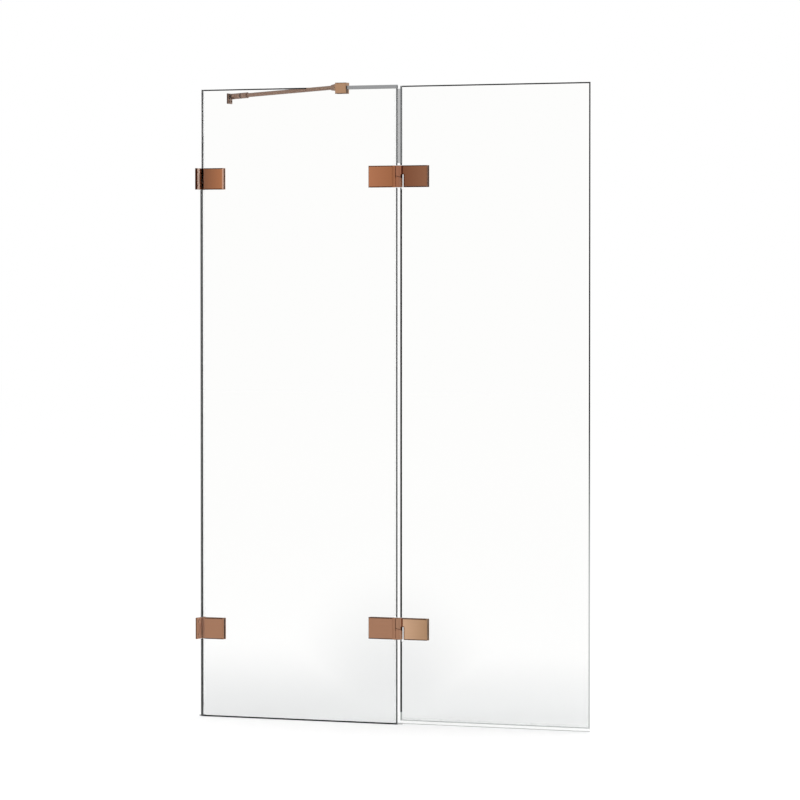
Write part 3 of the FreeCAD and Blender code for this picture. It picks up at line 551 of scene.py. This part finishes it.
def clear_seal_plastic(name):
    """See-through soft PVC, grey high on the lip, with painted shade on its tip and at the glass edge."""
    finish, tree, output = new_finish(name)
    coords = add(tree, "TexCoord")
    place = add(tree, "SeparateXYZ", {0: coords.outputs["Object"]})
    high = add(tree, "Math", {0: place.outputs["Z"], 1: SEAL_GREY_FROM}, operation="GREATER_THAN")
    on_lip = add(tree, "Math", {0: place.outputs["X"], 1: SEAL_LIP_FROM}, operation="GREATER_THAN")
    grey = add(tree, "Math", {0: high.outputs[0], 1: on_lip.outputs[0]}, operation="MULTIPLY")
    # The lowest tip gets painted shade.
    tip = add(tree, "Math", {0: place.outputs["Z"], 1: SEAL_TIP_TO}, operation="LESS_THAN")
    shaded = add(tree, "Math", {0: grey.outputs[0], 1: tip.outputs[0]}, operation="MAXIMUM")
    line = glass_line_shade_mask(tree, place)
    tone = add(tree, "Mix", {0: shaded.outputs[0], COLOUR_A: linear(SEAL_TONE), COLOUR_B: linear(SEAL_GREY)},
               data_type="RGBA")
    # The glass edge's painted shade on the fin of the wall seal.
    tone = add(tree, "Mix", {0: line.outputs[0], COLOUR_A: tone.outputs[COLOUR_OUT],
                             COLOUR_B: linear(DARK_EDGE)}, data_type="RGBA")
    haze = add(tree, "TexNoise", {"Vector": coords.outputs["Object"], "Scale": 1 / HAZE_SIZE,
                                  "Detail": HAZE_DETAIL})
    shine = add(tree, "MapRange", {"Value": haze.outputs[0], "To Min": SEAL_SHINE_LOW,
                                   "To Max": SEAL_SHINE_HIGH})
    body = add(tree, "BsdfPrincipled", {"Base Color": tone.outputs[COLOUR_OUT],
                                        "Roughness": shine.outputs[0], "IOR": PVC_IOR})
    through = add(tree, "BsdfTransparent", {"Color": WHITE})
    share = add(tree, "MapRange", {"Value": shaded.outputs[0], "To Min": SEAL_SHARE_CLEAR,
                                   "To Max": SEAL_SHARE_GREY})
    line_share = add(tree, "Math", {0: line.outputs[0], 1: GLASS_LINE_SHARE}, operation="MULTIPLY")
    share = add(tree, "Math", {0: share.outputs[0], 1: line_share.outputs[0]}, operation="MAXIMUM")
    seal = add(tree, "MixShader", {0: share.outputs[0], 1: through.outputs[0], 2: body.outputs[0]})
    tree.links.new(seal.outputs[0], output.inputs["Surface"])
    return finish


clear_seal = clear_seal_plastic("Clear soft PVC seal")
print("seal finish:", clear_seal.name, "with", len(clear_seal.node_tree.nodes), "nodes")

# %% [markdown]
# The other small parts are moulded or turned. The cap on the top edge is PVC with grey pigment. Gaskets
# are grey silicone rubber, which does not show as a dark rim beside the glass, and only the ring on the
# brace is black. Bushes and sleeves are white nylon, and screws and pins turned stainless steel.
# All of them are evenly coloured with fine mottling, so one function makes them from two tones, the size
# of the spots and a range of roughness.

# %% Rubber, nylon and steel
MOTTLE_DETAIL = 3.0
SILICONE_IOR = 1.41
NYLON_IOR = 1.53


def mottled(name, tones, spot_size, roughness, ior=1.5, specular=0.5, metallic=0.0):
    """A moulded or turned finish with fine mottling in colour and shine."""
    finish, tree, output = new_finish(name)
    coords = add(tree, "TexCoord")
    spots = add(tree, "TexNoise", {"Vector": coords.outputs["Object"], "Scale": 1 / spot_size,
                                   "Detail": MOTTLE_DETAIL})
    colour = add(tree, "Mix", {0: spots.outputs[0], COLOUR_A: linear(tones[0]), COLOUR_B: linear(tones[1])},
                 data_type="RGBA")
    shine = add(tree, "MapRange", {"Value": spots.outputs[0], "To Min": roughness[0],
                                   "To Max": roughness[1]})
    body = add(tree, "BsdfPrincipled", {
        "Base Color": colour.outputs[COLOUR_OUT], "Roughness": shine.outputs[0], "Metallic": metallic,
        "IOR": ior, "Specular IOR Level": specular})
    tree.links.new(body.outputs[0], output.inputs["Surface"])
    return finish


grey_cap = mottled("Grey PVC edge cap", tones=("#88898A", "#929394"), spot_size=4 * MILLIMETRE,
                   roughness=(0.30, 0.42), ior=PVC_IOR)
rubber = mottled("Black EPDM rubber", tones=("#141415", "#1E1E1F"), spot_size=2 * MILLIMETRE,
                 roughness=(0.55, 0.75), specular=0.2)
silicone = mottled("Grey silicone rubber", tones=("#8A8480", "#7C7773"), spot_size=2 * MILLIMETRE,
                   roughness=(0.45, 0.65), ior=SILICONE_IOR)
nylon = mottled("White nylon", tones=("#E4E2DB", "#D8D6CF"), spot_size=3 * MILLIMETRE,
                roughness=(0.35, 0.50), ior=NYLON_IOR)
steel = mottled("Turned stainless steel", tones=("#B9B8B4", "#A9A8A4"), spot_size=1 * MILLIMETRE,
                roughness=(0.22, 0.36), metallic=1.0)
print("small finishes:", [finish.name for finish in (grey_cap, rubber, silicone, nylon, steel)])

# %% [markdown]
# Each piece knows from the record which kind of material it is made of. That kind picks the finish,
# and for copper the piece's own name picks the tone.

# %% Dress every piece
SMALL_FINISHES = {
    "clear_seal": clear_seal,
    "grey_edge_cap": grey_cap,
    "gasket_rubber": silicone,
    "nylon": nylon,
    "stainless_steel": steel,
}


def finish_for(name, kind):
    """The finish of one piece, from its name and its kind of material."""
    if kind == "clear_glass":
        return glass
    if kind == "copper_finish":
        return next(copper[piece] for piece in copper if name.startswith(piece))
    if name == "brace_seal_ring":
        return rubber
    return SMALL_FINISHES[kind]


for name, piece in nodes.items():
    material_slot = piece.material_slots[0]
    material_slot.material = finish_for(name, material_slot.material.name.split(".")[0])
print("dressed", len(nodes), "pieces")

# %% [markdown]
# The glass is cut out around each hinge knuckle, with room for the door to rise. A small block of the
# clear seal plastic fills that room in each panel, so that the line of the joint runs on to the hinge.
# Each starts as a cube of the gap's size. Its upright edges at the joint are bevelled like those of the
# glass beside it, and the side towards the knuckle gets a low rib. The side at the joint gets the painted
# shade of the glass edge, so it gets a finish of its own.
# As the door opens it rises, and the knuckle presses the block flat against the glass.

# %% One notch filler
FILLER_NEAR = 4.0 * MILLIMETRE
FILLER_FAR = 13.0 * MILLIMETRE
FILLER_DEPTH = 6.0 * MILLIMETRE
FILLER_START = 26.4 * MILLIMETRE
FILLER_END = 30.5 * MILLIMETRE
FILLER_ARRIS = 1.8 * MILLIMETRE
RIB_INSET = 1.6 * MILLIMETRE
RIB_HEIGHT = 0.6 * MILLIMETRE
NEARLY = 0.01 * MILLIMETRE
TO_KNUCKLE = 0.90
TO_JOINT = 0.5

# Painted shade, dark like the edge of the glass.
cut_side_shade = mottled("Cut side of the filler", tones=(DARK_EDGE, "#101211"), spot_size=2 * MILLIMETRE,
                   roughness=(0.30, 0.40), ior=PVC_IOR, specular=EDGE_SPECULAR)


def select_only(piece, kind, wanted):
    """Select just the wanted edges or faces of a piece, and enter edit mode."""
    bpy.ops.object.mode_set(mode="EDIT")
    bpy.ops.mesh.select_mode(type=kind)
    bpy.ops.mesh.select_all(action="DESELECT")
    bpy.ops.object.mode_set(mode="OBJECT")
    parts = piece.data.edges if kind == "EDGE" else piece.data.polygons
    for part in parts:
        part.select = wanted(part)
    bpy.ops.object.mode_set(mode="EDIT")


def notch_filler(name, side, level):
    """A soft block in one panel's cut-out: above the knuckle for side -1, below it for side 1."""
    middle_x = HINGE_X + side * (FILLER_NEAR + FILLER_FAR) / 2
    middle_z = level - side * (FILLER_START + FILLER_END) / 2
    bpy.ops.mesh.primitive_cube_add(size=1.0, location=(middle_x, 0, middle_z))
    filler = bpy.context.object
    filler.name = name
    filler.scale = (FILLER_FAR - FILLER_NEAR, FILLER_DEPTH, FILLER_END - FILLER_START)
    bpy.ops.object.transform_apply(location=True, rotation=True, scale=True)
    points = filler.data.vertices
    joint_x = HINGE_X + side * FILLER_NEAR

    def at_joint(edge):
        start, end = (points[place].co for place in edge.vertices)
        upright = abs(start.x - end.x) < NEARLY and abs(start.y - end.y) < NEARLY
        return upright and abs(start.x - joint_x) < NEARLY

    select_only(filler, "EDGE", at_joint)
    bpy.ops.mesh.bevel(offset=FILLER_ARRIS, segments=1)
    bpy.ops.object.mode_set(mode="OBJECT")
    select_only(filler, "FACE", lambda face: side * face.normal.z > TO_KNUCKLE)
    bpy.ops.mesh.inset(thickness=RIB_INSET, depth=RIB_HEIGHT)
    bpy.ops.object.mode_set(mode="OBJECT")
    filler.data.materials.append(clear_seal)
    filler.data.materials.append(cut_side_shade)
    for face in filler.data.polygons:
        face.material_index = int(-side * face.normal.x > TO_JOINT)
    return filler


print("a filler is", FILLER_END - FILLER_START, "m tall before its rib")

# %% [markdown]
# Each hinge has two fillers, one above the knuckle in the fixed panel and one below it in the door. Each
# rides on its own panel.

for hinge in ("upper", "lower"):
    leaf_low, leaf_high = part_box(hinge + "_hinge_fixed_leaf")
    level = (leaf_low.z + leaf_high.z) / 2
    for side, panel, body in ((-1, "fixed", "fixed_screen"), (1, "door", "door")):
        filler = notch_filler(hinge + "_notch_filler_" + panel, side, level)
        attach(filler, body)
        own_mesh(filler)
        print(filler.name, "with", len(filler.data.polygons), "faces")

# %% [markdown]
# The studio. A wide pale floor lies just under the screen and runs on to the horizon. To the camera,
# and in reflections and through the glass, it gets a little glow so that it meets the white of the
# surroundings, while the screen's shadow stays on it.

# %% Floor
FLOOR_SIZE = 60.0
FLOOR_DROP = 0.3 * MILLIMETRE
FLOOR_TONE = "#EDEDED"
FLOOR_GLOW = 0.22

bpy.ops.mesh.primitive_plane_add(size=FLOOR_SIZE, location=(0, 0, -FLOOR_DROP))
floor = bpy.context.object
floor.name = "studio_floor"
floor_finish, tree, output = new_finish("Pale studio floor")
paint = add(tree, "BsdfDiffuse", {"Color": linear(FLOOR_TONE)})
glow = add(tree, "Emission", {"Color": WHITE, "Strength": FLOOR_GLOW})
lit = add(tree, "AddShader", {0: paint.outputs[0], 1: glow.outputs[0]})
light_path = add(tree, "LightPath")
seen = add(tree, "Math", {0: light_path.outputs["Is Camera Ray"], 1: light_path.outputs["Is Glossy Ray"]},
           operation="MAXIMUM")
seen = add(tree, "Math", {0: seen.outputs[0], 1: light_path.outputs["Is Transmission Ray"]},
           operation="MAXIMUM")
shown = add(tree, "MixShader", {0: seen.outputs[0], 1: paint.outputs[0], 2: lit.outputs[0]})
tree.links.new(shown.outputs[0], output.inputs["Surface"])
floor.data.materials.append(floor_finish)
print("floor", FLOOR_SIZE, "m wide")

# %% [markdown]
# Light for glass and metal has to come from broad soft sources, or the flat plates would show hard
# hot spots. The surroundings give most of it, and one large lamp from the upper left adds direction.

# %% Surroundings and lamp
SKY_LIGHT = 0.92
LAMP_PLACE = (-3.0, -5.0, 5.0)
LAMP_TARGET = (0.5, 0.0, 0.7)
LAMP_SIZE = 4.0
LAMP_POWER = 110.0

world = bpy.data.worlds.new("White studio")
bpy.context.scene.world = world
world.use_nodes = True
tree = world.node_tree
tree.nodes.clear()
light_path = add(tree, "LightPath")
seen = add(tree, "Math", {0: light_path.outputs["Is Camera Ray"],
                          1: light_path.outputs["Is Transmission Ray"]}, operation="MAXIMUM")
sky = add(tree, "Background", {"Color": WHITE, "Strength": SKY_LIGHT})
backdrop = add(tree, "Background", {"Color": WHITE, "Strength": 1.0})
both = add(tree, "MixShader", {0: seen.outputs[0], 1: sky.outputs[0], 2: backdrop.outputs[0]})
add(tree, "OutputWorld", {"Surface": both.outputs[0]})

bpy.ops.object.light_add(type="AREA", location=LAMP_PLACE)
lamp = bpy.context.object
lamp.name = "soft_lamp"
lamp.data.size = LAMP_SIZE
lamp.data.energy = LAMP_POWER
run = [target - place for target, place in zip(LAMP_TARGET, LAMP_PLACE)]
lamp_tilt = math.atan2(math.hypot(run[0], run[1]), -run[2])
lamp_turn = math.atan2(-run[0], run[1])
lamp.rotation_euler = (lamp_tilt, 0, lamp_turn)
print("lamp", LAMP_SIZE, "m wide at", LAMP_PLACE)

# %% [markdown]
# The camera stands to the right of the screen, at about two thirds of its height, with a long lens, so
# that the two panels narrow only a little towards the wall. It looks down by a degree and a half, which
# brings the screen to the middle of the picture and leaves its uprights upright.

# %% Camera
CAMERA_PLACE = (4.4943, -9.1961, 1.0216)
CAMERA_TILT = math.radians(88.525)
CAMERA_TURN = math.radians(23.36)
CAMERA_LENS = 192.12
CAMERA_SENSOR = 36.0

bpy.ops.object.camera_add(location=CAMERA_PLACE, rotation=(CAMERA_TILT, 0, CAMERA_TURN))
camera = bpy.context.object
camera.data.lens = CAMERA_LENS
camera.data.sensor_width = CAMERA_SENSOR
bpy.context.scene.camera = camera
bpy.context.scene.view_settings.view_transform = "Standard"
print("camera at", CAMERA_PLACE)
